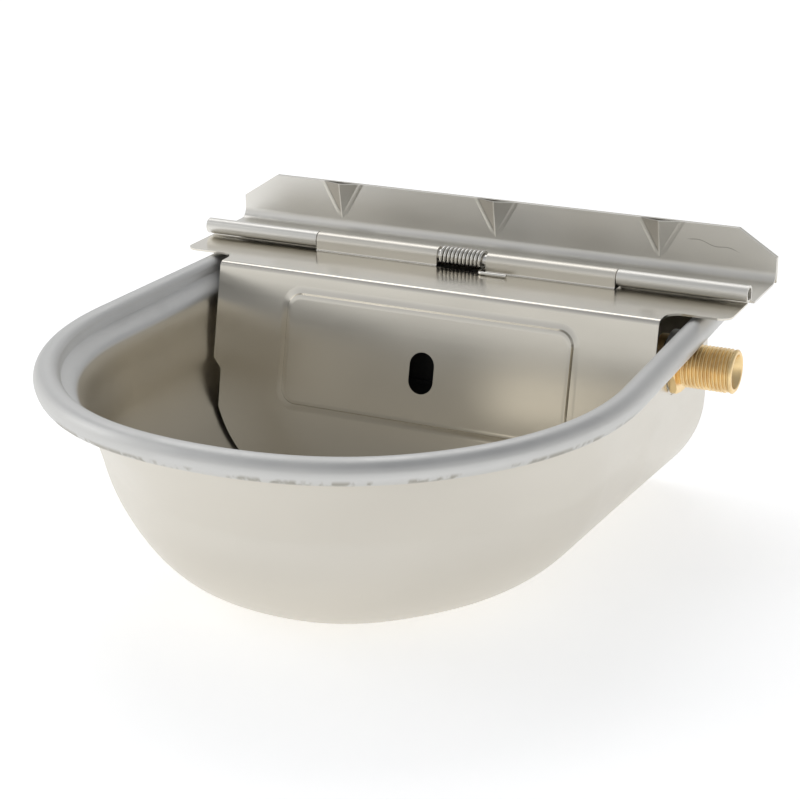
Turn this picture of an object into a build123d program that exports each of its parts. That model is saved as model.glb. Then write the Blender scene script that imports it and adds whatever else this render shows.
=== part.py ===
from build123d import *
import os
from math import cos, radians, sin, sqrt, tan

# Livestock drinking bowl: a pressed stainless basin with a float valve under a sprung, hinged cover.
# Millimetres. +Z is up, +Y points into the wall, X runs along the hinge.
# The origin lies on the wall plane (y = 0), midway between the two wall bolts (z = 0).

# ---- sheet metal and running clearances ----
sheet = 1.0                  # basin, hinge leaf and cover
plate_t = 2.0                # wall plate
seat_gap = 0.3               # between pieces of different bodies that rest on each other
run_clear = 0.05             # radial, pins and pistons in their holes
thread_clear = 0.02          # radial, nuts on their threads
back_gap = 0.05              # basin to wall plate; the wall bolts pull them together

# ---- basin ----
rim_z = 11.5                 # height of the rim bead's centre line
rim_half_back = 126.5        # bead centre line, half width at the back wall
rim_half_waist = 132.4       # bead centre line, half width at the waist
waist_y = -162.7             # where the straight sides meet the rounded front
front_reach = 137.1          # bead centre line, from the waist to the front
rim_fullness = 0.722         # share of width and reach at the front curve's middle point
wall_fullness = 0.685        # the same lower down
fullness_depth = 40.0        # depth at which the lower value is reached
bead_r = 6.0                 # outer radius of the rolled rim bead
bead_curl = 225.0            # degrees rolled, from the basin side over the top
basin_depth = 102.9          # bead centre line to underside
throat_inset = 9.0           # bead centre line to the wall's outer face
flare_depth = 12.0           # height over which the wall flares out into the bead
lip_h = 3.0                  # the wall's top edge thins over this height, inside the bead's sheet
lip_taper = 0.22
bead_start = -8.0            # degrees, where the bead's roll takes over from the wall
waist_draft = 0.06           # wall slopes, mm per mm
front_draft = 0.43
bottom_r_back = 52.4         # wall to bottom radii, outside
bottom_r_waist = 74.0
bottom_r_front = 61.5
bottom_r_rear = 17.0
corner_r = 12.0              # upright back corners, outside

# ---- wall plate ----
wing_half_w = 147.2          # half width of the upper wings
wing_top_z = 44.4
wing_chamfer_x = 19.6
wing_chamfer_z = 12.6
tongue_half_w = 96.0         # half width of the tongue behind the basin
tongue_bottom_z = -30.0
tongue_corner_r = 10.0
bolt_spacing = 160.0
bolt_hole_r = 4.5

# ---- hinge ----
hinge_y = -42.7
hinge_z = 24.9
knuckle_r = 4.0              # outer radius of the curled knuckles
hinge_inset = 1.2            # from the leaf's side edge to the knuckle's end
knuckle_split_x = 81.2       # outer knuckles end, inner knuckles begin
knuckle_gap = 0.5            # between neighbouring knuckles
spring_bay_half = 12.8
pin_recess = 6.0             # pin end inside the open outer knuckle
leaf_top_z = 19.9            # top face of the leaf's shelf
leaf_bend_r = 5.0            # inside radius between shelf and upright
tail_bend_r = 1.0            # inside radius at a knuckle's tail
curl_angle = 300.0           # how far a knuckle is rolled
dent_x = 88.2                # stiffening dents in the upright
dent_half_w = 11.0
dent_height = 19.5
dent_depth = 3.4

# ---- torsion spring, coiled round the pin in the bay between the cover's knuckles ----
spring_wire_r = 0.85
spring_turns = 11
spring_pitch = 2.07
spring_mean_r = 4.05
front_foot_out = 8.8         # from the hinge axis forward to the foot that presses the cover
front_foot_l = 15.0
foot_bend_r = 2.0
rear_leg_l = 24.0

# ---- cover ----
cover_top_z = 19.9           # top face of the flange
cover_rear_y = -41.0         # flange edge under the outer knuckles
tab_half_w = 145.0
tab_front_y = -69.5
tab_corner_r = 6.0
notch_r = 7.0                # inside corner between tab and baffle
baffle_half_w = 116.0
baffle_y = -83.2             # outer face of the baffle at the flange's top
baffle_lean = 12.4           # degrees, foot forward
baffle_foot_z = -80.0
baffle_bend_r = 2.0
baffle_step_z = -28.0        # the edges step inward below this height
baffle_step = 4.5
baffle_step_h = 5.0
baffle_gap = 2.0             # from the baffle's rounded foot to the basin wall
emboss_half_w = 76.0
emboss_top_z = 10.0
emboss_bottom_z = -46.0
emboss_r = 8.0
emboss_depth = 1.2
slot_z = -20.6               # obround inspection slot
slot_w = 13.0
slot_h = 20.5

# ---- float valve ----
valve_y = -67.0
valve_z = -5.5
thread_r = 20.955 / 2        # G 1/2, crest radius
inlet_bore_r = 8.0
inlet_l = 25.6               # free end, from the lock nut's face
inlet_chamfer = 0.8
relief_r = 9.32              # thread run-out groove outside the lock nut, at the root radius
relief_w = 1.0
boss_recess = 0.64           # flat seat pressed into the side wall, below its outer face
boss_t = 1.4
boss_r = 15.0
wall_hole_r = 10.8
washer_t = 1.0
washer_r = 13.2
gasket_t = 1.5
lock_nut_t = 3.8
lock_nut_af = 25.4           # across flats
lock_nut_round_r = 14.2      # its corners are turned back to this radius
lock_nut_chamfer = 1.2
collar_t = 4.0
collar_r = 13.3
housing_r = 9.0
housing_l = 23.7             # from the collar's seat face inward
chamber_r = 6.5
nozzle_in = 9.7              # from the collar's seat face in to the nozzle's face
nozzle_l = 6.0
nozzle_bore_r = 2.5
seat_ring_h = 1.0            # raised ring that the seal closes on
seat_ring_r = 3.5
valve_lift = 1.4             # piston travel from open to closed
piston_l = 9.0
stem_r = 2.6
seal_t = 2.0
seal_r = 5.4
seal_stand = 0.6             # seal's face ahead of the piston's lip
cheek_t = 2.5
cheek_gap = 9.0              # between the two cheeks of the fork
pivot_out = 5.5              # beyond the housing's inner end
pivot_drop = 9.0             # pivot below the valve axis
pivot_r = 2.0
fork_r = 4.2                 # rounded end of each cheek
fork_root_w = 4.0
fork_root_h = 12.0
pin_head_r = 3.4
pin_head_t = 1.4
pin_tail_l = 1.5             # beyond the clip
clip_t = 0.8
clip_r = 3.6
clip_mouth = 2.4
clip_seat = 0.2              # cheek to clip
groove_r = 1.4

# ---- float and lever ----
hub_r = 4.0
finger_t = 4.4               # finger that pushes the piston
finger_w = 6.4
finger_over = 1.5            # finger tip above the valve axis
strap_w = 8.0
strap_t = 3.0
strap_eye_r = 5.5            # round end under the screw
strap_rise_start = 6.0       # distances from the pivot, along X
strap_jog_start = 18.0       # the strap jogs sideways from the valve's line to the float's
strap_jog_end = 40.0
float_x = 0.0
float_y = -54.0
float_l = 100.0
float_w = 46.0
float_h = 34.0
float_top_z = -13.0
float_wall = 2.0
float_corner_r = 9.0
float_edge_r = 3.0
seam_w = 1.2
seam_t = 2.0
strap_end_z = -6.5           # strap centre height over the float
insert_r = 4.2               # brass insert moulded into the float's top
insert_l = 8.0
insert_stand = 2.5           # its boss above the float's top face
insert_wall = 2.5
screw_r = 2.5
screw_head_r = 4.2
screw_head_h = 2.6
screw_slot_w = 1.2
screw_slot_h = 1.2
float_nut_af = 8.0

# ---- what follows from the dimensions above ----
tilt = tan(radians(baffle_lean))
hinge_half_l = wing_half_w - hinge_inset
front_foot_y = hinge_y - front_foot_out
pivot_z = valve_z - pivot_drop
cheek_out = cheek_gap / 2 + cheek_t
basin_low_z = rim_z - basin_depth
float_mid_z = float_top_z - float_h / 2
insert_top_z = float_top_z + insert_stand


# ---------------------------------------------------------------- helpers
def at(x=0, y=0, z=0):
    return Location((x, y, z))


def x_cylinder(radius, x0, x1, y, z):
    """A round bar along X from x0 to x1."""
    disc = Plane(origin=(x0, y, z), x_dir=(0, 1, 0), z_dir=(1, 0, 0)) * Circle(radius)
    return extrude(disc, x1 - x0)


def x_hexagon(across_flats, x0, x1, y, z):
    hexagon = Plane(origin=(x0, y, z), x_dir=(0, 1, 0), z_dir=(1, 0, 0)) * RegularPolygon(
        across_flats / 2, 6, major_radius=False)
    return extrude(hexagon, x1 - x0)


def yz_profile(path, width, x0, x1):
    """A bent sheet: a path in the YZ plane, thickened and drawn along X."""
    section = trace(path, width)
    face = Plane(origin=(x0, 0, 0), x_dir=(0, 1, 0), z_dir=(1, 0, 0)) * section
    return extrude(face, x1 - x0)


def mirrored(shape):
    return shape + mirror(shape, Plane.YZ)


# ---------------------------------------------------------------- basin
def wall_inset(depth, draft, radius, skin):
    """Distance from the bead's centre line in to the wall, `depth` below it; skin 0 is outside."""
    height = basin_depth - skin - depth
    radius = radius - skin
    straight = max(min(depth, basin_depth - skin - radius), 0)
    inset = throat_inset + skin + draft * straight
    if depth < flare_depth:
        share = depth / flare_depth
        inset -= (throat_inset - bead_r + sheet) * (1 - 3 * share ** 2 + 2 * share ** 3)
    if depth < lip_h:
        inset += (lip_taper if skin == 0 else -lip_taper) * (1 - depth / lip_h)
    if height < radius:
        inset += radius - sqrt(radius ** 2 - (radius - height) ** 2)
    return inset


def rear_inset(depth, skin):
    height = basin_depth - skin - depth
    radius = bottom_r_rear - skin
    if height >= radius:
        return skin
    return skin + radius - sqrt(radius ** 2 - (radius - height) ** 2)


def basin_section(depth, skin):
    """The D-shaped outline of the basin at one depth."""
    half_back = rim_half_back - wall_inset(depth, 0, bottom_r_back, skin)
    half_waist = rim_half_waist - wall_inset(depth, waist_draft, bottom_r_waist, skin)
    reach = front_reach - wall_inset(depth, front_draft, bottom_r_front, skin)
    back = -plate_t - back_gap - rear_inset(depth, skin)
    r = corner_r - skin
    side = Vector(half_waist - half_back, waist_y - back + r, 0).normalized()
    fullness = rim_fullness + (wall_fullness - rim_fullness) * min(depth / fullness_depth, 1)
    front = (0, waist_y - reach)
    shoulder = (fullness * half_waist, waist_y - fullness * reach)
    lines = [
        Line((-half_back + r, back), (half_back - r, back)),
        TangentArc((half_back - r, back), (half_back, back - r), tangent=(1, 0)),
        Line((half_back, back - r), (half_waist, waist_y)),
        Spline((half_waist, waist_y), shoulder, front, tangents=[(side.X, side.Y), (-1, 0)]),
        Spline(front, (-shoulder[0], shoulder[1]), (-half_waist, waist_y),
               tangents=[(-1, 0), (side.X, -side.Y)]),
        Line((-half_waist, waist_y), (-half_back, back - r)),
        TangentArc((-half_back, back - r), (-half_back + r, back), tangent=(0, 1)),
    ]
    return at(z=rim_z - depth) * make_face(lines)


def basin_solid(skin):
    arc = [0, 0.2, 0.4, 0.57, 0.72, 0.84, 0.93, 0.98, 1]
    top_of_arc = basin_depth - bottom_r_waist
    depths = [share * flare_depth for share in (0, 0.12, 0.35, 0.65, 1)]
    depths.append((flare_depth + top_of_arc) / 2)
    depths += [top_of_arc + share * (basin_depth - skin - top_of_arc) for share in arc]
    return loft([basin_section(depth, skin) for depth in depths])


def rim_path():
    side = Vector(rim_half_waist - rim_half_back, waist_y + plate_t, 0).normalized()
    front = (0, waist_y - front_reach, rim_z)
    shoulder_x = rim_fullness * rim_half_waist
    shoulder_y = waist_y - rim_fullness * front_reach
    lines = [
        Line((rim_half_back, -plate_t, rim_z), (rim_half_waist, waist_y, rim_z)),
        Spline((rim_half_waist, waist_y, rim_z), (shoulder_x, shoulder_y, rim_z), front,
               tangents=[(side.X, side.Y), (-1, 0)]),
        Spline(front, (-shoulder_x, shoulder_y, rim_z), (-rim_half_waist, waist_y, rim_z),
               tangents=[(-1, 0), (side.X, -side.Y)]),
        Line((-rim_half_waist, waist_y, rim_z), (-rim_half_back, -plate_t, rim_z)),
    ]
    return Wire(lines)


def make_bead():
    """The rolled edge: a sheet curled outward over the top and open underneath."""
    path = rim_path()
    along = path % 0
    start = Plane(origin=path @ 0, x_dir=(along.Y, -along.X, 0), z_dir=along)
    first, last = radians(bead_start), radians(bead_curl)
    angles = (first, (first + last) / 2, last)
    outer = [(bead_r * cos(angle), -bead_r * sin(angle)) for angle in angles]
    inner = [((bead_r - sheet) * cos(angle), -(bead_r - sheet) * sin(angle)) for angle in angles]
    roll = make_face([
        ThreePointArc(*outer), Line(outer[2], inner[2]),
        ThreePointArc(*reversed(inner)), Line(inner[0], outer[0]),
    ])
    behind = at(y=50 - plate_t) * Box(600, 100, 100)
    return sweep(start * roll, path=path) - behind


def bolt_holes(depth):
    holes = [Location((x, 0, 0), (90, 0, 0)) * Cylinder(bolt_hole_r, depth)
             for x in (-bolt_spacing / 2, bolt_spacing / 2)]
    return Compound(holes)


def make_basin():
    outside = basin_solid(0)
    shell = outside - basin_solid(sheet)
    recess = x_cylinder(boss_r, boss_outer_x, boss_outer_x + 30, valve_y, valve_z)
    seat = x_cylinder(boss_r + sheet, boss_inner_x, boss_outer_x + 30, valve_y, valve_z) & outside
    inside = x_cylinder(boss_r, boss_inner_x - 6, boss_inner_x, valve_y, valve_z)
    shell = (shell - inside + seat) - recess
    shell -= x_cylinder(wall_hole_r, boss_inner_x - 6, boss_outer_x + 6, valve_y, valve_z)
    return shell + make_bead() - bolt_holes(40)


def basin_half_width(y, z):
    """Half width of the basin's inside, between its back corner and its waist."""
    depth = rim_z - z
    back = rim_half_back - wall_inset(depth, 0, bottom_r_back, sheet)
    waist = rim_half_waist - wall_inset(depth, waist_draft, bottom_r_waist, sheet)
    share = (y + plate_t + corner_r) / (waist_y + plate_t + corner_r)
    return back + share * (waist - back)


# ---- the valve's places along X, from the basin's side wall where it is mounted ----
boss_outer_x = round(basin_half_width(valve_y, valve_z) + sheet - boss_recess, 1)   # to a tenth
boss_inner_x = boss_outer_x - boss_t
collar_x = boss_inner_x - gasket_t
nut_end_x = boss_outer_x + washer_t + lock_nut_t
inlet_end_x = nut_end_x + inlet_l
nozzle_x = collar_x - nozzle_in
housing_end_x = collar_x - housing_l
pivot_x = housing_end_x - pivot_out
seal_face_x = nozzle_x - seat_ring_h - seat_gap - valve_lift


# ---------------------------------------------------------------- wall plate and hinge leaf
def wing_face():
    """Outline of the upright behind the hinge, with its clipped upper corners."""
    top, low = wing_top_z, leaf_top_z - sheet
    clip_x, clip_z = wing_half_w - wing_chamfer_x, wing_top_z - wing_chamfer_z
    return Polyline((-wing_half_w, low), (-wing_half_w, clip_z), (-clip_x, top), (clip_x, top),
                    (wing_half_w, clip_z), (wing_half_w, low), close=True)


def xz_prism(outline, y0, y1):
    face = Plane(origin=(0, y1, 0), x_dir=(1, 0, 0), z_dir=(0, -1, 0)) * make_face(outline)
    return extrude(face, y1 - y0)


def make_wall_plate():
    wings = xz_prism(wing_face(), -plate_t, 0)
    height = leaf_top_z - tongue_bottom_z
    tongue = at(y=-plate_t / 2, z=tongue_bottom_z + height / 2) * Box(2 * tongue_half_w, plate_t, height)
    lower = tongue.edges().filter_by(Axis.Y).sort_by(Axis.Z)[:2]
    tongue = fillet(lower, tongue_corner_r)
    return wings + tongue - bolt_holes(10)


def knuckle_path(tail_y, level, side, curled=True):
    """Sheet centre line of a knuckle: along the level, up beside the barrel and round it.

    side +1 puts the tail behind the barrel, -1 in front of it.
    """
    mid_r = knuckle_r - sheet / 2
    bend = tail_bend_r + sheet / 2
    up_y = hinge_y + side * mid_r
    corner = (up_y + side * bend, level)
    foot = (up_y, level + bend)
    end = radians(curl_angle)
    mid = radians(curl_angle / 2)
    point = lambda angle: (hinge_y + side * mid_r * cos(angle), hinge_z + mid_r * sin(angle))
    return [
        Line((tail_y, level), corner),
        TangentArc(corner, foot, tangent=(-side, 0)),
        Line(foot, (up_y, hinge_z)),
        ThreePointArc((up_y, hinge_z), point(mid), point(end)),
    ]


def dent(x, grow):
    """A pyramid dent pressed forward into the upright, open at its top edge."""
    face_y = -plate_t - sheet
    top = wing_top_z + grow
    half = dent_half_w * (1 + grow / dent_height)
    depth = dent_depth * (1 + grow / dent_height)
    tip = Vertex(x, face_y, wing_top_z - dent_height)
    mouth = Face(Wire.make_polygon([(x - half, face_y, top), (x + half, face_y, top),
                                    (x, face_y - depth, top)], close=True))
    return loft([mouth, tip])


def make_hinge_leaf():
    level = leaf_top_z - sheet / 2
    upright_y = -plate_t - sheet / 2
    bend = leaf_bend_r + sheet / 2
    shelf_front = hinge_y + knuckle_r + 1
    upright = [
        Line((upright_y, wing_top_z + 5), (upright_y, level + bend)),
        TangentArc((upright_y, level + bend), (upright_y - bend, level), tangent=(0, -1)),
        Line((upright_y - bend, level), (shelf_front, level)),
    ]
    leaf = yz_profile(upright, sheet, -wing_half_w, wing_half_w)
    outline = xz_prism(wing_face(), -plate_t - 60, -plate_t)
    leaf = leaf & outline
    for x in (-dent_x, 0, dent_x):
        press = dent(x, 0)
        leaf = leaf + press - (at(y=sheet) * dent(x, 1.0))
    knuckle = yz_profile(knuckle_path(shelf_front + 1, level, 1), sheet, knuckle_split_x, hinge_half_l)
    return leaf + mirrored(knuckle)


def make_tack_welds():
    """Short tacks in the corner behind each outer knuckle, near its free end."""
    welds = []
    for x in (-hinge_half_l + 7, -knuckle_split_x - 7, knuckle_split_x + 7, hinge_half_l - 7):
        tack = Location((x, hinge_y + knuckle_r, leaf_top_z)) * scale(Sphere(1), by=(3.5, 1.8, 1.6))
        corner = Box(12, 6, 6, align=(Align.CENTER, Align.MIN, Align.MIN))
        welds.append(tack & (at(x, hinge_y + knuckle_r, leaf_top_z) * corner))
    level = leaf_top_z - sheet / 2
    path = knuckle_path(hinge_y + knuckle_r + 10, level, 1)
    leaf = yz_profile(path, sheet, -hinge_half_l, hinge_half_l)
    return Compound([tack - leaf for tack in welds])


def make_hinge_pin():
    half = hinge_half_l - pin_recess
    return x_cylinder(knuckle_r - sheet - run_clear, -half, half, hinge_y, hinge_z)


# ---------------------------------------------------------------- torsion spring
def make_torsion_spring():
    length = spring_turns * spring_pitch
    start_x = -length / 2
    coil = Helix(spring_pitch, length, spring_mean_r, center=(0, 0, 0), direction=(0, 0, 1), lefthand=True)
    section = Plane(origin=coil @ 0, z_dir=coil % 0) * RegularPolygon(spring_wire_r, 8)
    body = sweep(section, path=coil, is_frenet=True)
    body = Location((start_x, hinge_y, hinge_z)) * (Rot(0, 90, 0) * body)
    # Both coil ends lie under the pin after whole turns; the legs leave along Y from there.
    low_z = hinge_z - spring_mean_r
    end_x = start_x + length
    front = Wire([
        Line((end_x, hinge_y, low_z), (end_x, front_foot_y + foot_bend_r, low_z)),
        TangentArc((end_x, front_foot_y + foot_bend_r, low_z),
                   (end_x + foot_bend_r, front_foot_y, low_z), tangent=(0, -1, 0)),
        Line((end_x + foot_bend_r, front_foot_y, low_z), (end_x + front_foot_l, front_foot_y, low_z)),
    ])
    rear = Wire([Line((start_x, hinge_y, low_z), (start_x, hinge_y + rear_leg_l, low_z))])
    legs = [sweep(Plane(origin=wire @ 0, z_dir=wire % 0) * Circle(spring_wire_r), path=wire)
            for wire in (front, rear)]
    return body + legs[0] + legs[1]


# ---------------------------------------------------------------- cover
def cover_outline():
    """Plan of the flange: side tabs over the rim, and the middle that turns down into the baffle."""
    rear = cover_rear_y
    front = baffle_y - 20
    right = [(tab_half_w, rear), (tab_half_w, tab_front_y), (baffle_half_w, tab_front_y),
             (baffle_half_w, front)]
    left = [(-x, y) for x, y in reversed(right)]
    face = make_face(Polyline(*right, *left, close=True))
    for half, radius in ((tab_half_w, tab_corner_r), (baffle_half_w, notch_r)):
        corners = [v for v in face.vertices()
                   if abs(abs(v.X) - half) < 0.1 and abs(v.Y - tab_front_y) < 0.1]
        face = fillet(corners, radius)
    return face


def baffle_outline():
    """Front view of the baffle: stepped edges and a rounded foot that follows the basin wall."""
    low_half = baffle_half_w - baffle_step
    step_end = baffle_step_z - baffle_step_h
    top = cover_top_z + 10
    fine = 60
    heights = [step_end + (baffle_foot_z - step_end) * i / fine for i in range(fine + 1)]
    limits = [(basin_half_width(baffle_y - tilt * (cover_top_z - z), z) - baffle_gap, z) for z in heights]
    near = [point for point in limits if point[0] < low_half]
    knots = [near[round(i * (len(near) - 1) / 6)] for i in range(7)]
    right = [
        Line((0, top), (baffle_half_w, top)),
        Line((baffle_half_w, top), (baffle_half_w, baffle_step_z)),
        Line((baffle_half_w, baffle_step_z), (low_half, step_end)),
        Line((low_half, step_end), knots[0]),
        Spline(*knots),
        Line(knots[-1], (0, baffle_foot_z)),
        Line((0, baffle_foot_z), (0, top)),
    ]
    half = make_face(right)
    return half + mirror(half, Plane.YZ)


def baffle_plane():
    """A plane on the baffle's outer face: its X is X, its Y runs up the sheet, its Z points forward."""
    up = Vector(0, tilt, 1).normalized()
    return Plane(origin=(0, baffle_y - tilt * cover_top_z, 0), x_dir=(1, 0, 0),
                 z_dir=Vector(1, 0, 0).cross(up))


def make_cover_flap():
    level = cover_top_z - sheet / 2
    bend = baffle_bend_r + sheet / 2
    angle = radians(90 - baffle_lean)
    mid_y = baffle_y - tilt * sheet / 2 + sheet / 2 / cos(radians(baffle_lean))
    run = bend * tan(angle / 2)
    bend_start = (mid_y + run, level)
    down = (-sin(radians(baffle_lean)), -cos(radians(baffle_lean)))
    bend_end = (mid_y + run * down[0], level + run * down[1])
    foot_drop = level - baffle_foot_z + 5
    foot = (mid_y + foot_drop * down[0], level + foot_drop * down[1])
    path = [
        Line((cover_rear_y, level), bend_start),
        TangentArc(bend_start, bend_end, tangent=(-1, 0)),
        Line(bend_end, foot),
    ]
    body = yz_profile(path, sheet, -tab_half_w, tab_half_w)
    plan = extrude(at(z=-120) * cover_outline(), 200)
    front = extrude(Plane.XZ * baffle_outline(), 200)
    face = baffle_plane()
    flange_zone = at(z=cover_top_z) * Box(400, 400, 12)
    body = body & plan & (front + flange_zone)
    emboss = at(0, (emboss_top_z + emboss_bottom_z) / 2) * RectangleRounded(
        2 * emboss_half_w, emboss_top_z - emboss_bottom_z, emboss_r)
    raised = extrude(face * emboss, emboss_depth, taper=35)
    sunk = extrude(face.offset(-sheet) * emboss, emboss_depth, taper=35)
    body = body + raised - sunk
    slot = at(0, slot_z) * Rot(0, 0, 90) * SlotOverall(slot_h, slot_w)
    body -= extrude(face.offset(-10) * slot, 20)
    tail_y = hinge_y - knuckle_r - tail_bend_r
    relief = at(0, cover_rear_y, level) * Box(2 * knuckle_split_x, 2 * (cover_rear_y - tail_y), 8)
    body -= relief
    knuckle = yz_profile(knuckle_path(tail_y - 1, level, -1), sheet,
                         spring_bay_half + knuckle_gap, knuckle_split_x - knuckle_gap)
    return body + mirrored(knuckle)


# ---------------------------------------------------------------- valve
def make_valve_body():
    body = x_cylinder(thread_r, collar_x, inlet_end_x, valve_y, valve_z)
    body = chamfer(body.faces().sort_by(Axis.X)[-1].edges(), inlet_chamfer)
    body -= ring(thread_r + 1, relief_r, nut_end_x, nut_end_x + relief_w)
    body += x_cylinder(collar_r, collar_x - collar_t, collar_x, valve_y, valve_z)
    body += x_cylinder(housing_r, housing_end_x, collar_x, valve_y, valve_z)
    root = at(housing_end_x + fork_root_w, valve_z) * Rectangle(fork_root_w, fork_root_h)
    cheek = make_hull([*(at(pivot_x, pivot_z) * Circle(fork_r)).edges(), *root.edges()])
    for front in (valve_y - cheek_out, valve_y + cheek_gap / 2):
        plane = Plane(origin=(0, front + cheek_t, 0), x_dir=(1, 0, 0), z_dir=(0, -1, 0))
        body += extrude(plane * cheek, cheek_t)
    body -= x_cylinder(inlet_bore_r, nozzle_x + nozzle_l, inlet_end_x, valve_y, valve_z)
    body -= x_cylinder(chamber_r, housing_end_x - 1, nozzle_x + nozzle_l, valve_y, valve_z)
    body -= y_cylinder(pivot_r, pivot_x, pivot_z, valve_y - collar_r, valve_y + collar_r)
    throat = Box(2 * housing_r, cheek_gap, 4 * housing_r, align=(Align.MAX, Align.CENTER, Align.CENTER))
    return body - at(housing_end_x, valve_y, valve_z) * throat


def make_lock_nut():
    start = boss_outer_x + washer_t
    nut = x_hexagon(lock_nut_af, start, start + lock_nut_t, valve_y, valve_z)
    round_off = x_cylinder(lock_nut_round_r, start, start + lock_nut_t, valve_y, valve_z)
    round_off = chamfer(round_off.faces().sort_by(Axis.X)[-1].edges(), lock_nut_chamfer)
    nut = nut & round_off
    return nut - x_cylinder(thread_r + thread_clear, start - 1, start + lock_nut_t + 1, valve_y, valve_z)


def ring(outer, inner, x0, x1):
    """A tube about the valve's axis."""
    bore = x_cylinder(inner, x0 - 1, x1 + 1, valve_y, valve_z)
    return x_cylinder(outer, x0, x1, valve_y, valve_z) - bore


def make_outer_washer():
    return ring(washer_r, wall_hole_r, boss_outer_x, boss_outer_x + washer_t)


def make_inner_gasket():
    return ring(washer_r, wall_hole_r, collar_x, boss_inner_x)


def make_valve_nozzle():
    nozzle = x_cylinder(chamber_r - thread_clear, nozzle_x, nozzle_x + nozzle_l, valve_y, valve_z)
    nozzle += x_cylinder(seat_ring_r, nozzle_x - seat_ring_h, nozzle_x, valve_y, valve_z)
    return nozzle - x_cylinder(nozzle_bore_r, nozzle_x - 3, nozzle_x + nozzle_l + 1, valve_y, valve_z)


def make_seal_disc():
    return x_cylinder(seal_r, seal_face_x - seal_t, seal_face_x, valve_y, valve_z)


def make_valve_piston():
    rear_x = seal_face_x - piston_l
    piston = x_cylinder(chamber_r - run_clear, rear_x, seal_face_x - seal_stand, valve_y, valve_z)
    piston -= x_cylinder(seal_r, seal_face_x - seal_t, seal_face_x, valve_y, valve_z)
    stem_end = pivot_x + finger_t / 2 + seat_gap
    stem = x_cylinder(stem_r, stem_end, rear_x, valve_y, valve_z)
    stem = fillet(stem.faces().sort_by(Axis.X)[0].edges(), stem_r / 2)
    return piston + stem


def y_cylinder(radius, x, z, y0, y1):
    disc = Plane(origin=(x, y0, z), x_dir=(1, 0, 0), z_dir=(0, 1, 0)) * Circle(radius)
    return extrude(disc, y1 - y0)


def make_pivot_pin():
    head_y = valve_y - cheek_out
    groove_y = valve_y + cheek_out + clip_seat
    pin = y_cylinder(pivot_r - run_clear, pivot_x, pivot_z, head_y, groove_y + clip_t + pin_tail_l)
    pin += y_cylinder(pin_head_r, pivot_x, pivot_z, head_y - pin_head_t, head_y)
    groove = y_cylinder(pin_head_r, pivot_x, pivot_z, groove_y, groove_y + clip_t)
    groove -= y_cylinder(groove_r, pivot_x, pivot_z, groove_y, groove_y + clip_t)
    return pin - groove


def make_pin_clip():
    y0 = valve_y + cheek_out + clip_seat
    clip = y_cylinder(clip_r, pivot_x, pivot_z, y0, y0 + clip_t)
    clip -= y_cylinder(groove_r + run_clear, pivot_x, pivot_z, y0, y0 + clip_t)
    mouth = Box(clip_mouth, clip_t, 2 * clip_r, align=(Align.CENTER, Align.MIN, Align.MAX))
    return clip - at(pivot_x, y0, pivot_z) * mouth


# ---------------------------------------------------------------- lever and float
def make_float_lever():
    hub_half = cheek_gap / 2 - seat_gap
    hub = y_cylinder(hub_r, pivot_x, pivot_z, valve_y - hub_half, valve_y + hub_half)
    finger_h = pivot_drop + finger_over
    finger = at(pivot_x, valve_y, pivot_z + finger_h / 2) * Box(finger_t, finger_w, finger_h)
    finger = fillet(finger.edges().filter_by(Axis.Y).sort_by(Axis.Z)[-2:], finger_t / 2 - 0.1)
    bend_x0, bend_x1 = pivot_x - strap_jog_start, pivot_x - strap_jog_end
    plan = [
        Line((pivot_x, valve_y), (bend_x0, valve_y)),
        Spline((bend_x0, valve_y), (bend_x1, float_y), tangents=[(-1, 0), (-1, 0)]),
        Line((bend_x1, float_y), (float_x, float_y)),
    ]
    band = trace(plan, strap_w) + at(float_x, float_y) * Circle(strap_eye_r)
    rise_x0, rise_x1 = pivot_x - strap_rise_start, pivot_x - strap_jog_start
    side = [
        Line((pivot_x, pivot_z), (rise_x0, pivot_z)),
        Spline((rise_x0, pivot_z), (rise_x1, strap_end_z), tangents=[(-1, 0), (-1, 0)]),
        Line((rise_x1, strap_end_z), (float_x - 2 * strap_eye_r, strap_end_z)),
    ]
    profile = Plane(origin=(0, 0, 0), x_dir=(1, 0, 0), z_dir=(0, -1, 0)) * trace(side, strap_t)
    strap = extrude(at(z=basin_low_z) * band, basin_depth) & extrude(profile, basin_depth)
    lever = hub + finger + strap
    lever -= y_cylinder(pivot_r, pivot_x, pivot_z, valve_y - cheek_gap, valve_y + cheek_gap)
    return lever - at(float_x, float_y, strap_end_z) * Cylinder(screw_r + thread_clear, 20)


def float_block(grow, z0, z1):
    block = Box(float_l + 2 * grow, float_w + 2 * grow, z1 - z0)
    block = at(float_x, float_y, (z0 + z1) / 2) * block
    return fillet(block.edges().filter_by(Axis.Z), float_corner_r + grow)


def make_float_half(upper):
    edge = float_top_z if upper else float_top_z - float_h
    z0, z1 = sorted((edge, float_mid_z))
    block = float_block(0, z0, z1)
    far = block.faces().sort_by(Axis.Z)[-1 if upper else 0]
    block = fillet(far.edges(), float_edge_r)
    seam0, seam1 = sorted((float_mid_z, float_mid_z + (seam_t / 2 if upper else -seam_t / 2)))
    inner = float_block(-float_wall, *sorted((edge + (-float_wall if upper else float_wall), float_mid_z)))
    half = block + float_block(seam_w, seam0, seam1)
    if upper:
        boss = z_cylinder(insert_r + insert_wall, insert_top_z - insert_l - insert_wall, insert_top_z)
        hole = z_cylinder(insert_r, insert_top_z - insert_l, insert_top_z)
        return half - inner + boss - hole
    return half - inner


def z_cylinder(radius, z0, z1):
    """A round bar on the float screw's axis."""
    return extrude(at(float_x, float_y, z0) * Circle(radius), z1 - z0)


def make_float_insert():
    bottom = insert_top_z - insert_l
    hole = z_cylinder(screw_r + thread_clear, bottom, insert_top_z)
    return z_cylinder(insert_r, bottom, insert_top_z) - hole


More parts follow.
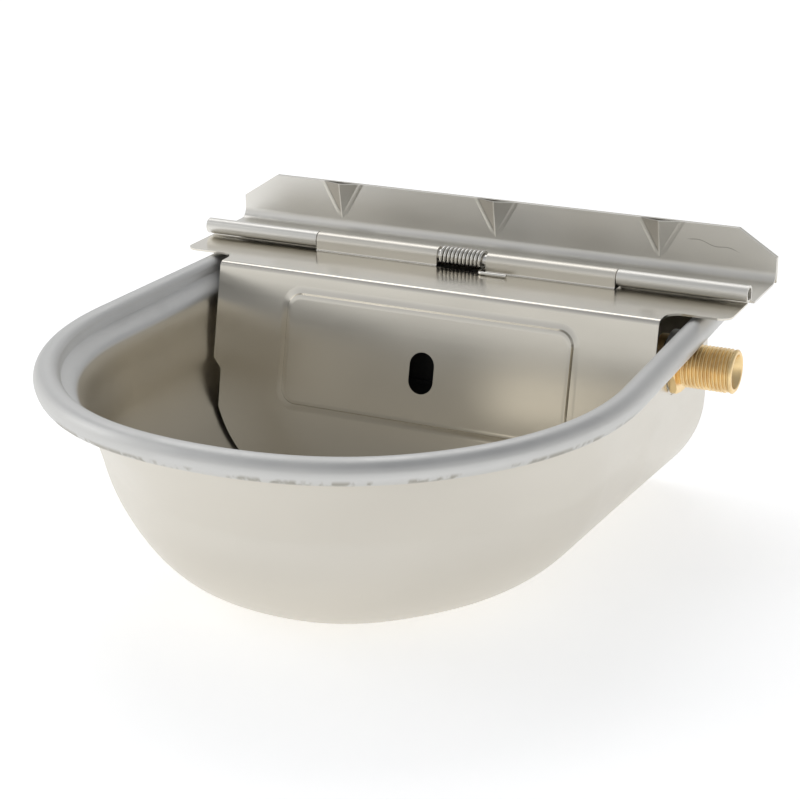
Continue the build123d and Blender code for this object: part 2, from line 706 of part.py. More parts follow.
def make_float_screw():
    strap_top = strap_end_z + strap_t / 2
    shank = z_cylinder(screw_r, insert_top_z - insert_l, strap_top)
    head = z_cylinder(screw_head_r, strap_top, strap_top + screw_head_h)
    head = fillet(head.faces().sort_by(Axis.Z)[-1].edges(), screw_head_h / 2)
    slot = Box(2 * screw_head_r, screw_slot_w, screw_slot_h, align=(Align.CENTER, Align.CENTER, Align.MAX))
    return shank + head - at(float_x, float_y, strap_top + screw_head_h) * slot


def make_float_nut():
    top = strap_end_z - strap_t / 2
    hexagon = RegularPolygon(float_nut_af / 2, 6, major_radius=False)
    nut = extrude(at(float_x, float_y, insert_top_z) * hexagon, top - insert_top_z)
    return nut - z_cylinder(screw_r + thread_clear, insert_top_z, top)


# ---------------------------------------------------------------- write every piece
pieces = {
    "basin": make_basin,
    "wall_plate": make_wall_plate,
    "hinge_leaf": make_hinge_leaf,
    "tack_welds": make_tack_welds,
    "hinge_pin": make_hinge_pin,
    "torsion_spring": make_torsion_spring,
    "cover_flap": make_cover_flap,
    "valve_body": make_valve_body,
    "lock_nut": make_lock_nut,
    "outer_washer": make_outer_washer,
    "inner_gasket": make_inner_gasket,
    "valve_nozzle": make_valve_nozzle,
    "seal_disc": make_seal_disc,
    "valve_piston": make_valve_piston,
    "pivot_pin": make_pivot_pin,
    "pin_clip": make_pin_clip,
    "float_lever": make_float_lever,
    "float_screw": make_float_screw,
    "float_nut": make_float_nut,
    "float_insert": make_float_insert,
    "float_upper": lambda: make_float_half(True),
    "float_lower": lambda: make_float_half(False),
}

os.makedirs("parts", exist_ok=True)
for name, make in pieces.items():
    export_step(make(), f"parts/{name}.step")
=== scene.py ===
from math import cos, pi, radians, sin

import bmesh
import bpy
from mathutils import Matrix, Vector


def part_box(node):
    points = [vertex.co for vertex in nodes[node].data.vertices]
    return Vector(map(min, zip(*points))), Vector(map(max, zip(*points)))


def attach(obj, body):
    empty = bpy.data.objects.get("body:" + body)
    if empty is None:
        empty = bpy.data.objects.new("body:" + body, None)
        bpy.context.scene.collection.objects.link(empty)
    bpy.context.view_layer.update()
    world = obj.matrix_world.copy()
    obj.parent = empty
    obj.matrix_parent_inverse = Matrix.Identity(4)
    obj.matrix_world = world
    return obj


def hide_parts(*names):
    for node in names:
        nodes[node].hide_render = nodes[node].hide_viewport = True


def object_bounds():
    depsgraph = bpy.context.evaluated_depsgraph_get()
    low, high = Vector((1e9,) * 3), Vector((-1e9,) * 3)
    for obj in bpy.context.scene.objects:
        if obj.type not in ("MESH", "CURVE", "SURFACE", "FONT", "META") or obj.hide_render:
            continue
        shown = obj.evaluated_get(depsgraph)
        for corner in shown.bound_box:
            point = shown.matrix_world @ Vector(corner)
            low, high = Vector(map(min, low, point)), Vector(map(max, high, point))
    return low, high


# Livestock drinking bowl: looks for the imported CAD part. Metres, in the CAD part's frame.
mm = 0.001

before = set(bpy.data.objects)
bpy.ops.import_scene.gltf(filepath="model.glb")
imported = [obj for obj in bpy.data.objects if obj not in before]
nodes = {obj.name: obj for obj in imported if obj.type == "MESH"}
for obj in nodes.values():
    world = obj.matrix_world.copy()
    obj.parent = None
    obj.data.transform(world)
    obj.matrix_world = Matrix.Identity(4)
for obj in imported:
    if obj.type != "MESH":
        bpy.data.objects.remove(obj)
cad_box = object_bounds()

# ---- places taken from the CAD part ----
floor_z = cad_box[0][2]
valve_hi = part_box("valve_body")[1]
nut_lo, nut_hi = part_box("lock_nut")
spring_lo, spring_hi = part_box("torsion_spring")
basin_lo, basin_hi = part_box("basin")
valve_axis = ((nut_lo[1] + nut_hi[1]) / 2, (nut_lo[2] + nut_hi[2]) / 2)      # y, z of the inlet

# ---- inlet thread, G 1/2 ----
thread_pitch = 1.814 * mm
thread_crest_r = 10.4775 * mm
thread_root_r = 9.32 * mm
inlet_bore_r = 8.0 * mm
inlet_bore_end = 112.0 * mm          # where the bore meets the nozzle
thread_plain_end = 1.9 * mm          # plain ring at the mouth
groove_w = 1.0 * mm                  # run-out groove beside the lock nut
inlet_end_x = valve_hi[0]
thread_start_x = nut_hi[0]

# ---- torsion spring ----
spring_wire_r = 0.85 * mm
spring_turns = 11
spring_pitch = 2.07 * mm
spring_axis_y = -42.7 * mm
foot_bend_r = 2.0 * mm

# ---- basin places used by its material ----
bowl_middle = (0, -0.13, 0.01)       # the basin's inner faces look towards this point
rim_low_z = 7.0 * mm                 # the ground rim lies above this height,
rim_blend = 1.5 * mm                 # with a soft edge this far to each side of it
rim_inside_drop = 5.0 * mm           # inside, the ground band reaches this much lower
rim_half_w = 132.4 * mm              # centre line of the rim's bead: half its width,
rim_waist_y = -162.7 * mm            # where its curved front starts,
rim_reach = 137.1 * mm               # and how far that front reaches
mark_z = (8.2 * mm, 10.5 * mm)       # hammer marks: full below the first height, none above the second
rim_front_y = -150 * mm              # none behind this place,
rim_front_fade = 60 * mm             # and full this much further to the front
lean_z = (1.5 * mm, 14.5 * mm)       # the bead's run-in ends at these heights
lean_h = 8 * mm

# ---- leaf and cover places used by their materials ----
leaf_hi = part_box("hinge_leaf")[1]
upright_y = (-30 * mm, -25 * mm)     # the leaf's upright lies behind these places
dent_x = 88.2 * mm                   # V dents pressed in the upright at both sides, and one in the middle
dent_half_w = 11.0 * mm
dent_height = 19.5 * mm
dent_foot_z = leaf_hi[2] - dent_height
dent_shade_edge = 1.5 * mm                 # soft outer edge of the painted shade on a dent's left face, and where that painted shade ends, from the dent's middle line
dent_shade_end = (-1.2 * mm, 0.2 * mm)     # and where that face ends, from the dent's middle line
crease_w = 1.7 * mm
crease_h = 0.35 * mm
scratch_x = 104 * mm                 # the leaf's long scratch passes through this x and z
scratch_z = 36.5 * mm
scratch_slope = -0.16
scratch_waves = 420.0                # radians per metre
scratch_wave_h = 0.6 * mm
scratch_w = (0.08 * mm, 0.3 * mm)    # full up to the first distance from its path, none past the second
scratch_in = (101 * mm, 105 * mm)    # it starts between these places
scratch_out = (124 * mm, 130 * mm)   # and runs out between these
knuckle_z = (20.2 * mm, 21.0 * mm)   # the cover's satin knuckles lie above these heights
baffle_lean = radians(12.4)
emboss_half_w = 76.0 * mm            # raised field of the baffle, measured on its leaning face
emboss_half_h = 28.0 * mm
emboss_mid = -18.0 * mm
emboss_r = 8.0 * mm
shoulder_in = 3.0 * mm               # the emboss's shoulder: its width to each side of the field's edge
shoulder_out = 3.5 * mm
shoulder_h = 0.9 * mm


# ---------------------------------------------------------------- material helpers
class Graph:
    """A material's node tree, with one method for each kind of node used here."""

    def __init__(self, name):
        self.material = bpy.data.materials.new(name)
        self.material.use_nodes = True
        self.tree = self.material.node_tree
        self.shader = self.tree.nodes["Principled BSDF"]
        self.place = self.tree.nodes.new("ShaderNodeTexCoord").outputs["Object"]

    def link(self, value, socket):
        if isinstance(value, bpy.types.NodeSocket):
            self.tree.links.new(value, socket)
        else:
            socket.default_value = value

    def math(self, operation, a, b=0.0, c=0.0, clamp=False):
        node = self.tree.nodes.new("ShaderNodeMath")
        node.operation = operation
        node.use_clamp = clamp
        for value, socket in zip((a, b, c), node.inputs):
            self.link(value, socket)
        return node.outputs[0]

    def scaled(self, scale, turn=(0, 0, 0)):
        """The object coordinates, stretched."""
        node = self.tree.nodes.new("ShaderNodeMapping")
        self.link(self.place, node.inputs["Vector"])
        node.inputs["Rotation"].default_value = turn
        node.inputs["Scale"].default_value = scale
        return node.outputs[0]

    def noise(self, vector, scale, detail=3.0, rough=0.5, distortion=0.0):
        node = self.tree.nodes.new("ShaderNodeTexNoise")
        self.link(vector, node.inputs["Vector"])
        node.inputs["Scale"].default_value = scale
        node.inputs["Detail"].default_value = detail
        node.inputs["Roughness"].default_value = rough
        node.inputs["Distortion"].default_value = distortion
        return node.outputs["Fac"]

    def remap(self, value, from_low, from_high, low, high):
        node = self.tree.nodes.new("ShaderNodeMapRange")
        node.interpolation_type = "SMOOTHSTEP"
        for socket, number in zip(node.inputs, (value, from_low, from_high, low, high)):
            self.link(number, socket)
        return node.outputs[0]

    def mix(self, factor, a, b, blend="MIX"):
        node = self.tree.nodes.new("ShaderNodeMix")
        node.data_type = "RGBA"
        node.blend_type = blend
        self.link(factor, node.inputs["Factor"])
        self.link(a, node.inputs[6])
        self.link(b, node.inputs[7])
        return node.outputs[2]

    def axis(self, name):
        node = self.tree.nodes.new("ShaderNodeSeparateXYZ")
        self.link(self.place, node.inputs[0])
        return node.outputs[name]

    def faces_point(self, point):
        """1 on faces that look towards the point, 0 on those that look away."""
        away = self.tree.nodes.new("ShaderNodeVectorMath")
        away.operation = "SUBTRACT"
        away.inputs[0].default_value = point
        self.link(self.place, away.inputs[1])
        unit = self.tree.nodes.new("ShaderNodeVectorMath")
        unit.operation = "NORMALIZE"
        self.link(away.outputs[0], unit.inputs[0])
        dot = self.tree.nodes.new("ShaderNodeVectorMath")
        dot.operation = "DOT_PRODUCT"
        self.link(unit.outputs[0], dot.inputs[0])
        self.link(self.tree.nodes.new("ShaderNodeTexCoord").outputs["Normal"], dot.inputs[1])
        return self.remap(dot.outputs["Value"], -0.1, 0.15, 0, 1)

    def bump(self, height, strength, distance, below=None):
        node = self.tree.nodes.new("ShaderNodeBump")
        node.inputs["Strength"].default_value = strength
        node.inputs["Distance"].default_value = distance
        self.link(height, node.inputs["Height"])
        if below is not None:
            self.link(below, node.inputs["Normal"])
        return node.outputs[0]


def rgba(colour, gain=1.0):
    return tuple(channel * gain for channel in colour) + (1.0,)


def sheet_metal(name, colour, roughness, grain_scale=(30, 30, 900), cloud=0.05, depth=0.000012):
    """Rolled sheet: a soft cloudiness, a fine grain along one direction and faint smudges."""
    g = Graph(name)
    clouds = g.noise(g.place, 11, 2, 0.45, 0.6)
    grain = g.noise(g.scaled(grain_scale), 1, 4, 0.6)
    smudge = g.remap(g.noise(g.scaled((1, 1, 1.6)), 16, 2, 0.5), 0.5, 0.75, 0, 1)
    g.link(g.mix(g.remap(clouds, 0.3, 0.7, 0, 1), rgba(colour, 1 - cloud), rgba(colour, 1 + cloud)),
           g.shader.inputs["Base Color"])
    g.shader.inputs["Metallic"].default_value = 1.0
    rough = g.math("ADD", g.remap(clouds, 0.3, 0.7, roughness - 0.03, roughness + 0.04),
                   g.math("MULTIPLY", grain, 0.06))
    g.link(g.math("ADD", rough, g.math("MULTIPLY", smudge, 0.04)), g.shader.inputs["Roughness"])
    g.link(g.bump(grain, 0.25, depth), g.shader.inputs["Normal"])
    return g


# ---------------------------------------------------------------- materials
warm_steel = (0.735, 0.700, 0.625)
cool_steel = (0.700, 0.695, 0.675)


def basin_material():
    """Satin drawn steel below, a ground matte rim above with hammer marks round its lower front."""
    g = sheet_metal("drawn_steel", warm_steel, 0.32, grain_scale=(45, 45, 260), cloud=0.02)
    z, y = g.axis("Z"), g.axis("Y")
    inside = g.faces_point(bowl_middle)
    ground_z = g.math("ADD", z, g.math("MULTIPLY", inside, rim_inside_drop))
    rim = g.remap(ground_z, rim_low_z - rim_blend, rim_low_z + rim_blend, 0, 1)
    body_colour = g.shader.inputs["Base Color"].links[0].from_socket
    body_rough = g.shader.inputs["Roughness"].links[0].from_socket
    body_normal = g.shader.inputs["Normal"].links[0].from_socket
    brushed = g.noise(g.scaled((60, 60, 1400)), 1, 4, 0.6)
    cloudy = g.noise(g.place, 32, 4, 0.55, 0.8)
    ground = g.mix(cloudy, rgba(cool_steel, 0.84), rgba(cool_steel, 1.0))
    # hammer marks: short patches along the lower outer edge, at the front only
    across = g.math("POWER", g.math("DIVIDE", g.axis("X"), rim_half_w), 2)
    along = g.math("POWER", g.math("DIVIDE", g.math("SUBTRACT", y, rim_waist_y), rim_reach), 2)
    outer = g.remap(g.math("ADD", across, along), 1.0, 1.03, 0, 1)
    front = g.remap(y, rim_front_y, rim_front_y - rim_front_fade, 0, 1)
    low = g.math("MULTIPLY", g.math("MULTIPLY", g.remap(z, *mark_z, 1, 0), outer), front)
    patch = g.remap(g.noise(g.scaled((1, 1, 0.3)), 120, 3, 0.6), 0.45, 0.56, 0, 1)
    marks = g.math("MULTIPLY", g.math("MULTIPLY", low, patch), rim)
    ground = g.mix(marks, ground, rgba(warm_steel, 0.55))
    # painted shade: the drawn steel's colour is toned down, and its inner faces are tinted warmer than
    # the outer ones
    painted_shade = g.mix(inside, (0.92, 0.92, 0.925, 1), (0.92, 0.905, 0.88, 1))
    drawn = g.mix(1.0, body_colour, painted_shade, "MULTIPLY")
    g.link(g.mix(rim, drawn, ground), g.shader.inputs["Base Color"])
    ground_rough = g.remap(cloudy, 0.3, 0.7, 0.46, 0.60)
    rough = g.math("ADD", g.math("MULTIPLY", rim, ground_rough),
                   g.math("MULTIPLY", g.math("SUBTRACT", 1.0, rim), body_rough))
    g.link(rough, g.shader.inputs["Roughness"])
    dents = g.math("ADD", g.math("MULTIPLY", brushed, g.math("MULTIPLY", rim, 0.12)),
                   g.math("MULTIPLY", marks, -1.0))
    dented = g.bump(dents, 0.35, 0.00022, body_normal)
    # bump only: the bead seems to run into the wall in one soft curve
    lean = g.math("MULTIPLY", g.remap(z, *lean_z, lean_h, 0), inside)
    g.link(g.bump(lean, 1.0, 1.0, dented), g.shader.inputs["Normal"])
    return g.material


def leaf_material():
    """The hinge leaf: satin sheet with one long wavy scratch; its V dents get creases and painted shade
    on their left face.
    """
    g = sheet_metal("leaf_steel", (0.760, 0.740, 0.690), 0.36, grain_scale=(14, 200, 1100), cloud=0.03)
    x, z = g.axis("X"), g.axis("Z")
    wave = g.math("MULTIPLY", g.math("SINE", g.math("MULTIPLY", x, scratch_waves)), scratch_wave_h)
    slope = g.math("MULTIPLY", g.math("SUBTRACT", x, scratch_x), scratch_slope)
    path = g.math("ADD", g.math("ADD", slope, scratch_z), wave)
    off = g.math("ABSOLUTE", g.math("SUBTRACT", z, path))
    line = g.remap(off, *scratch_w, 1, 0)
    reach = g.math("MULTIPLY", g.remap(x, *scratch_in, 0, 1), g.remap(x, *scratch_out, 1, 0))
    scratch = g.math("MULTIPLY", g.math("MULTIPLY", line, reach), 0.55)
    colour = g.shader.inputs["Base Color"].links[0].from_socket
    g.link(g.mix(scratch, colour, (0.16, 0.14, 0.11, 1)), g.shader.inputs["Base Color"])
    # bump only: each dent's creases seem to stand up a little
    nearest = g.math("MINIMUM", g.math("ABSOLUTE", x),
                     g.math("ABSOLUTE", g.math("SUBTRACT", g.math("ABSOLUTE", x), dent_x)))
    rise = g.math("DIVIDE", g.math("SUBTRACT", z, dent_foot_z), dent_height, clamp=True)
    beside = g.math("ABSOLUTE", g.math("SUBTRACT", nearest, g.math("MULTIPLY", rise, dent_half_w)))
    upright = g.remap(g.axis("Y"), *upright_y, 0, 1)
    fade = g.math("MULTIPLY", g.remap(rise, 0.02, 0.3, 0, 1), upright)
    crease = g.math("MULTIPLY", g.remap(beside, 0, crease_w, 1, 0), fade)
    below = g.shader.inputs["Normal"].links[0].from_socket
    # colour only: painted shade darkens the left face of each dent
    centre = g.math("MULTIPLY", g.math("ROUND", g.math("DIVIDE", x, dent_x)), dent_x)
    across = g.math("SUBTRACT", x, centre)
    reach_left = g.math("MULTIPLY", rise, -dent_half_w)
    left = g.math("MULTIPLY", g.remap(g.math("SUBTRACT", across, reach_left), 0, dent_shade_edge, 0, 1),
                  g.remap(across, *dent_shade_end, 1, 0))
    painted_dent_shade = g.math("MULTIPLY", g.math("MULTIPLY", left, fade), 0.75)
    colour = g.shader.inputs["Base Color"].links[0].from_socket
    g.link(g.mix(painted_dent_shade, colour, (0.30, 0.275, 0.235, 1)), g.shader.inputs["Base Color"])
    g.link(g.bump(crease, 1.0, crease_h, below), g.shader.inputs["Normal"])
    return g.material


def cover_material():
    """The cover: a glossier sheet, grained along X, with satin knuckles and a soft emboss."""
    g = sheet_metal("cover_steel", warm_steel, 0.155, grain_scale=(12, 500, 500), cloud=0.03)
    x, z = g.axis("X"), g.axis("Z")
    rough = g.shader.inputs["Roughness"].links[0].from_socket
    knuckle = g.remap(z, *knuckle_z, 0, 0.16)
    g.link(g.math("ADD", rough, knuckle), g.shader.inputs["Roughness"])
    # bump only: the emboss's shoulder seems to run out softly round its edge
    wide = g.math("MAXIMUM", g.math("SUBTRACT", g.math("ABSOLUTE", x), emboss_half_w - emboss_r), 0)
    height = g.math("ABSOLUTE", g.math("SUBTRACT", g.math("DIVIDE", z, cos(baffle_lean)), emboss_mid))
    tall = g.math("MAXIMUM", g.math("SUBTRACT", height, emboss_half_h - emboss_r), 0)
    reach = g.math("SQRT", g.math("ADD", g.math("MULTIPLY", wide, wide), g.math("MULTIPLY", tall, tall)))
    shoulder = g.remap(reach, emboss_r - shoulder_in, emboss_r + shoulder_out, 1, 0)
    below = g.shader.inputs["Normal"].links[0].from_socket
    g.link(g.bump(shoulder, 1.0, shoulder_h, below), g.shader.inputs["Normal"])
    return g.material


def brass_material(name, colour=(0.95, 0.72, 0.38), roughness=0.285):
    """Machined brass: turning marks across X and a little tarnish."""
    g = Graph(name)
    turning = g.noise(g.scaled((2600, 60, 60)), 1, 3, 0.6)
    tarnish = g.noise(g.place, 160, 4, 0.55, 0.4)
    g.link(g.mix(g.remap(tarnish, 0.35, 0.7, 0, 1), rgba(colour), rgba((0.82, 0.60, 0.31))),
           g.shader.inputs["Base Color"])
    g.shader.inputs["Metallic"].default_value = 1.0
    g.link(g.remap(tarnish, 0.3, 0.7, roughness, roughness + 0.10), g.shader.inputs["Roughness"])
    g.link(g.bump(turning, 0.25, 0.00002), g.shader.inputs["Normal"])
    return g.material


def wire_material(name, colour, roughness):
    """Drawn wire and turned rod: bright, with faint draw lines along X."""
    g = Graph(name)
    lines = g.noise(g.scaled((25, 1500, 1500)), 1, 3, 0.6)
    stain = g.noise(g.place, 90, 3, 0.5)
    g.link(g.mix(stain, rgba(colour, 0.9), rgba(colour, 1.06)), g.shader.inputs["Base Color"])
    g.shader.inputs["Metallic"].default_value = 1.0
    g.link(g.remap(lines, 0.3, 0.7, roughness - 0.03, roughness + 0.05), g.shader.inputs["Roughness"])
    g.link(g.bump(lines, 0.2, 0.00001), g.shader.inputs["Normal"])
    return g.material


def weld_material():
    """A small tack: dull grey bead with a brown heat colour and a rippled skin."""
    g = Graph("weld_tack")
    heat = g.noise(g.place, 420, 3, 0.6, 1.0)
    g.link(g.mix(g.remap(heat, 0.35, 0.65, 0, 1), (0.36, 0.30, 0.23, 1), (0.60, 0.59, 0.58, 1)),
           g.shader.inputs["Base Color"])
    g.shader.inputs["Metallic"].default_value = 1.0
    g.link(g.remap(heat, 0.3, 0.7, 0.35, 0.55), g.shader.inputs["Roughness"])
    g.link(g.bump(g.noise(g.place, 1500, 2, 0.5), 0.6, 0.0002), g.shader.inputs["Normal"])
    return g.material


def moulded_material(name, colour, roughness, grain=0.00003):
    """Moulded plastic or rubber: a fine sparked texture and uneven gloss."""
    g = Graph(name)
    spark = g.noise(g.place, 1800, 2, 0.6)
    cloudy = g.noise(g.place, 45, 3, 0.5)
    g.link(g.mix(cloudy, rgba(colour, 0.85), rgba(colour, 1.15)), g.shader.inputs["Base Color"])
    g.link(g.remap(cloudy, 0.3, 0.7, roughness - 0.05, roughness + 0.07), g.shader.inputs["Roughness"])
    g.link(g.bump(spark, 0.5, grain), g.shader.inputs["Normal"])
    return g.material


lever_steel = sheet_metal("lever_steel", (0.70, 0.67, 0.60), 0.32, grain_scale=(20, 400, 900)).material
plate_steel = sheet_metal("plate_steel", (0.69, 0.665, 0.60), 0.32, grain_scale=(14, 200, 1100)).material
brass = brass_material("brass")
rod = wire_material("rod_steel", (0.72, 0.70, 0.66), 0.24)
black_plastic = moulded_material("black_plastic", (0.022, 0.022, 0.023), 0.42)
looks = {
    "basin": basin_material(),
    "wall_plate": plate_steel,
    "hinge_leaf": leaf_material(),
    "tack_welds": weld_material(),
    "hinge_pin": rod,
    "torsion_spring": wire_material("spring_steel", (0.70, 0.68, 0.63), 0.20),
    "cover_flap": cover_material(),
    "valve_body": brass,
    "lock_nut": brass,
    "outer_washer": wire_material("washer_steel", (0.68, 0.66, 0.62), 0.30),
    "inner_gasket": moulded_material("black_rubber", (0.030, 0.030, 0.030), 0.62),
    "valve_nozzle": moulded_material("white_plastic", (0.78, 0.78, 0.74), 0.38),
    "seal_disc": moulded_material("seal_rubber", (0.035, 0.034, 0.034), 0.6),
    "valve_piston": moulded_material("piston_plastic", (0.72, 0.72, 0.69), 0.36),
    "pivot_pin": rod,
    "pin_clip": wire_material("clip_steel", (0.60, 0.58, 0.54), 0.30),
    "float_lever": lever_steel,
    "float_screw": rod,
    "float_nut": rod,
    "float_insert": brass,
    "float_upper": black_plastic,
    "float_lower": black_plastic,
}
for name, material in looks.items():
    nodes[name].data.materials.clear()
    nodes[name].data.materials.append(material)


# ---------------------------------------------------------------- pieces that replace CAD nodes
def new_piece(name, mesh_or_curve, material, body="bowl"):
    piece = bpy.data.objects.new(name, mesh_or_curve)
    bpy.context.scene.collection.objects.link(piece)
    mesh_or_curve.materials.clear()
    mesh_or_curve.materials.append(material)
    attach(piece, body)
    return piece


def thread_radius(turn):
    """Radius across one turn of the thread: rounded crest and root with straight flanks."""
    wave = 0.5 + 0.5 * cos(2 * pi * turn)
    flank = min(max((wave - 0.5) * 1.45 + 0.5, 0), 1)
    return thread_root_r + (thread_crest_r - thread_root_r) * flank


def inlet_mesh():
    """The threaded stub from the lock nut to its mouth, with a plain end ring and the bore."""
    around = 72
    per_turn = 8
    thread_end_x = inlet_end_x - thread_plain_end
    cut_x = thread_start_x + groove_w
    rows = int((thread_end_x - cut_x) / thread_pitch * per_turn)
    stations = [cut_x + (thread_end_x - cut_x) * i / rows for i in range(rows + 1)]
    y0, z0 = valve_axis
    bm = bmesh.new()

    def ring(x, radius_at):
        points = []
        for k in range(around):
            angle = 2 * pi * k / around
            r = radius_at(angle)
            points.append(bm.verts.new((x, y0 + r * cos(angle), z0 + r * sin(angle))))
        return points

    def helical(x):
        fade = min((thread_end_x - x) / (0.8 * thread_pitch), (x - cut_x) / (0.4 * thread_pitch), 1)
        turn = (x - thread_start_x) / thread_pitch
        return lambda angle: (thread_radius(turn - angle / (2 * pi)) * fade
                              + thread_root_r * (1 - fade))

    def plain(radius):
        return lambda angle: radius

    chamfer = 0.8 * mm
    edge = 0.25 * mm                 # small step that rounds off the plain ring's corners
    bore_edge = 0.35 * mm            # chamfer of the bore's mouth
    end_profile = [
        (thread_end_x + 0.2 * mm, thread_crest_r - edge),
        (inlet_end_x - chamfer, thread_crest_r - 0.05 * mm),
        (inlet_end_x - 0.15 * mm, thread_crest_r - chamfer),
        (inlet_end_x, thread_crest_r - chamfer - edge),
        (inlet_end_x, inlet_bore_r + bore_edge),
        (inlet_end_x - bore_edge, inlet_bore_r),
        (inlet_bore_end, inlet_bore_r),
    ]
    rings = [ring(thread_start_x, plain(thread_root_r))] + [ring(x, helical(x)) for x in stations]
    rings += [ring(x, plain(radius)) for x, radius in end_profile]
    for first, second in zip(rings, rings[1:]):
        for k in range(around):
            face = bm.faces.new((first[k], first[(k + 1) % around], second[(k + 1) % around], second[k]))
            face.smooth = True
    bmesh.ops.recalc_face_normals(bm, faces=bm.faces)
    mesh = bpy.data.meshes.new("inlet_thread")
    bm.to_mesh(mesh)
    bm.free()
    return mesh


def body_without_stub():
    """The CAD valve body inside the bowl and under the nut, cut off where the thread takes over."""
    bm = bmesh.new()
    bm.from_mesh(nodes["valve_body"].data)
    bmesh.ops.bisect_plane(bm, geom=[*bm.verts, *bm.edges, *bm.faces], plane_co=(thread_start_x, 0, 0),
                           plane_no=(1, 0, 0), clear_outer=True)
    mesh = bpy.data.meshes.new("valve_housing")
    bm.to_mesh(mesh)
    bm.free()
    return mesh


def spring_mesh():
    """Round wire on the CAD spring's path: coil, front leg with its foot, and rear leg."""
    wire_r = spring_wire_r
    axis_y, axis_z = spring_axis_y, (spring_lo[2] + spring_hi[2]) / 2
    mean_r = (spring_hi[2] - spring_lo[2]) / 2 - wire_r
    start_x = spring_lo[0] + wire_r
    per_turn = 40
    steps = spring_turns * per_turn
    coil = []
    for i in range(steps + 1):
        turn = i / per_turn
        coil.append((start_x + spring_pitch * turn, axis_y - mean_r * sin(2 * pi * turn),
                     axis_z - mean_r * cos(2 * pi * turn)))
    low_z = axis_z - mean_r
    end_x = coil[-1][0]
    foot_y = spring_lo[1] + wire_r
    bend = [(end_x + foot_bend_r * (1 - cos(a)), foot_y + foot_bend_r * (1 - sin(a)), low_z)
            for a in (pi / 2 * k / 8 for k in range(9))]
    points = [(start_x, spring_hi[1], low_z)] + coil + bend + [(spring_hi[0], foot_y, low_z)]
    data = bpy.data.curves.new("spring_wire", "CURVE")
    data.dimensions = "3D"
    data.bevel_depth = wire_r - 0.002 * mm
    data.bevel_resolution = 3
    data.use_fill_caps = True
    spline = data.splines.new("POLY")
    spline.points.add(len(points) - 1)
    for point, place in zip(spline.points, points):
        point.co = (*place, 1)
    wire = bpy.data.objects.new("spring_wire", data)
    bpy.context.scene.collection.objects.link(wire)
    mesh = bpy.data.meshes.new_from_object(wire.evaluated_get(bpy.context.evaluated_depsgraph_get()))
    bpy.data.objects.remove(wire)
    for face in mesh.polygons:
        face.use_smooth = len(face.vertices) == 4
    return mesh


spring = new_piece("round_spring", spring_mesh(), looks["torsion_spring"])
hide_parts("torsion_spring")
housing = new_piece("valve_housing", body_without_stub(), brass)
thread = new_piece("inlet_thread", inlet_mesh(), brass)
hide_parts("valve_body")
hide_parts("valve_body")


# ---------------------------------------------------------------- camera, floor and light
def place_camera():
    """The camera that was fitted to the photograph."""
    place = (0.40332, -0.94542, 0.31590)
    azimuth, elevation, roll = radians(25.95), radians(20.33), radians(-0.447)
    back = Vector((sin(azimuth) * cos(elevation), -cos(azimuth) * cos(elevation), sin(elevation)))
    level = Vector((cos(azimuth), sin(azimuth), 0))
    upright = level.cross(-back)
    right = cos(roll) * level + sin(roll) * upright
    up = -sin(roll) * level + cos(roll) * upright
    data = bpy.data.cameras.new("camera")
    data.lens = 93.25
    data.sensor_width = 36.0
    camera = bpy.data.objects.new("camera", data)
    rotation = Matrix((right, up, back)).transposed().to_4x4()
    camera.matrix_world = Matrix.Translation(place) @ rotation
    bpy.context.scene.collection.objects.link(camera)
    bpy.context.scene.camera = camera


def make_floor():
    """A wide pale floor that glows a little, as the photograph's white ground does."""
    mesh = bpy.data.meshes.new("floor")
    half = 6.0
    corners = [(x, y, floor_z) for x, y in ((-half, -half), (half, -half), (half, half), (-half, half))]
    mesh.from_pydata(corners, [], [(0, 1, 2, 3)])
    floor = bpy.data.objects.new("floor", mesh)
    bpy.context.scene.collection.objects.link(floor)
    g = Graph("pale_floor")
    paper = g.noise(g.place, 3, 2, 0.5)
    g.link(g.mix(paper, (0.93, 0.93, 0.925, 1), (0.95, 0.95, 0.945, 1)), g.shader.inputs["Base Color"])
    g.shader.inputs["Roughness"].default_value = 0.9
    g.shader.inputs["Specular IOR Level"].default_value = 0.0
    g.shader.inputs["Emission Color"].default_value = (1, 1, 1, 1)
    g.shader.inputs["Emission Strength"].default_value = 0.48
    mesh.materials.append(g.material)


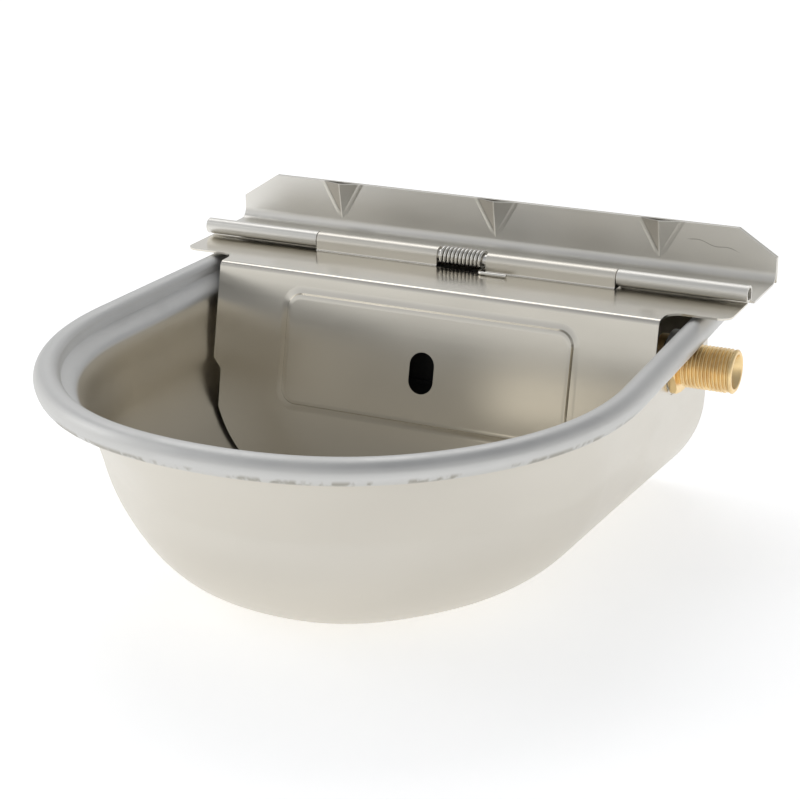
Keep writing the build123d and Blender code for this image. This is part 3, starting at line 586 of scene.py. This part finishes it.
def area_light(name, place, target, size, power, colour=(1, 1, 1)):
    data = bpy.data.lights.new(name, "AREA")
    data.shape = "RECTANGLE"
    data.size, data.size_y = size
    data.energy = power
    data.color = colour
    light = bpy.data.objects.new(name, data)
    light.location = place
    light.rotation_euler = (Vector(target) - Vector(place)).to_track_quat("-Z", "Y").to_euler()
    bpy.context.scene.collection.objects.link(light)


def make_world():
    """White studio: bright at the horizon and to the left, dimmer overhead and in front."""
    world = bpy.data.worlds.new("studio")
    world.use_nodes = True
    bpy.context.scene.world = world
    tree = world.node_tree
    background = tree.nodes["Background"]
    direction = tree.nodes.new("ShaderNodeTexCoord")
    split = tree.nodes.new("ShaderNodeSeparateXYZ")
    ramp = tree.nodes.new("ShaderNodeValToRGB")
    ramp.color_ramp.elements[0].position = 0.0
    ramp.color_ramp.elements[0].color = (0.98, 0.98, 0.97, 1)
    ramp.color_ramp.elements[1].position = 0.85
    ramp.color_ramp.elements[1].color = (0.40, 0.41, 0.43, 1)
    middle = ramp.color_ramp.elements.new(0.35)
    middle.color = (0.66, 0.67, 0.69, 1)
    tree.links.new(direction.outputs["Generated"], split.inputs[0])
    tree.links.new(split.outputs["Z"], ramp.inputs[0])
    tree.links.new(ramp.outputs[0], background.inputs["Color"])

    def span(value, low, high, first, last):
        node = tree.nodes.new("ShaderNodeMapRange")
        node.interpolation_type = "SMOOTHSTEP"
        tree.links.new(value, node.inputs[0])
        for socket, number in zip(list(node.inputs)[1:5], (low, high, first, last)):
            socket.default_value = number
        return node.outputs[0]

    def product(a, b):
        node = tree.nodes.new("ShaderNodeMath")
        node.operation = "MULTIPLY"
        tree.links.new(a, node.inputs[0])
        tree.links.new(b, node.inputs[1])
        return node.outputs[0]

    sideways = span(split.outputs["X"], -0.8, 0.8, 1.08, 0.82)
    in_front = span(split.outputs["Y"], -0.25, -0.85, 1.0, 0.94)
    tree.links.new(product(sideways, in_front), background.inputs["Strength"])


place_camera()
make_floor()
make_world()
area_light("key", (-0.6, 0.7, 1.7), (0, -0.12, 0), (1.6, 1.0), 7)
area_light("fill", (-1.5, -0.7, 0.9), (0, -0.12, 0), (0.8, 1.2), 3.5)
bpy.context.scene.view_settings.view_transform = "Standard"
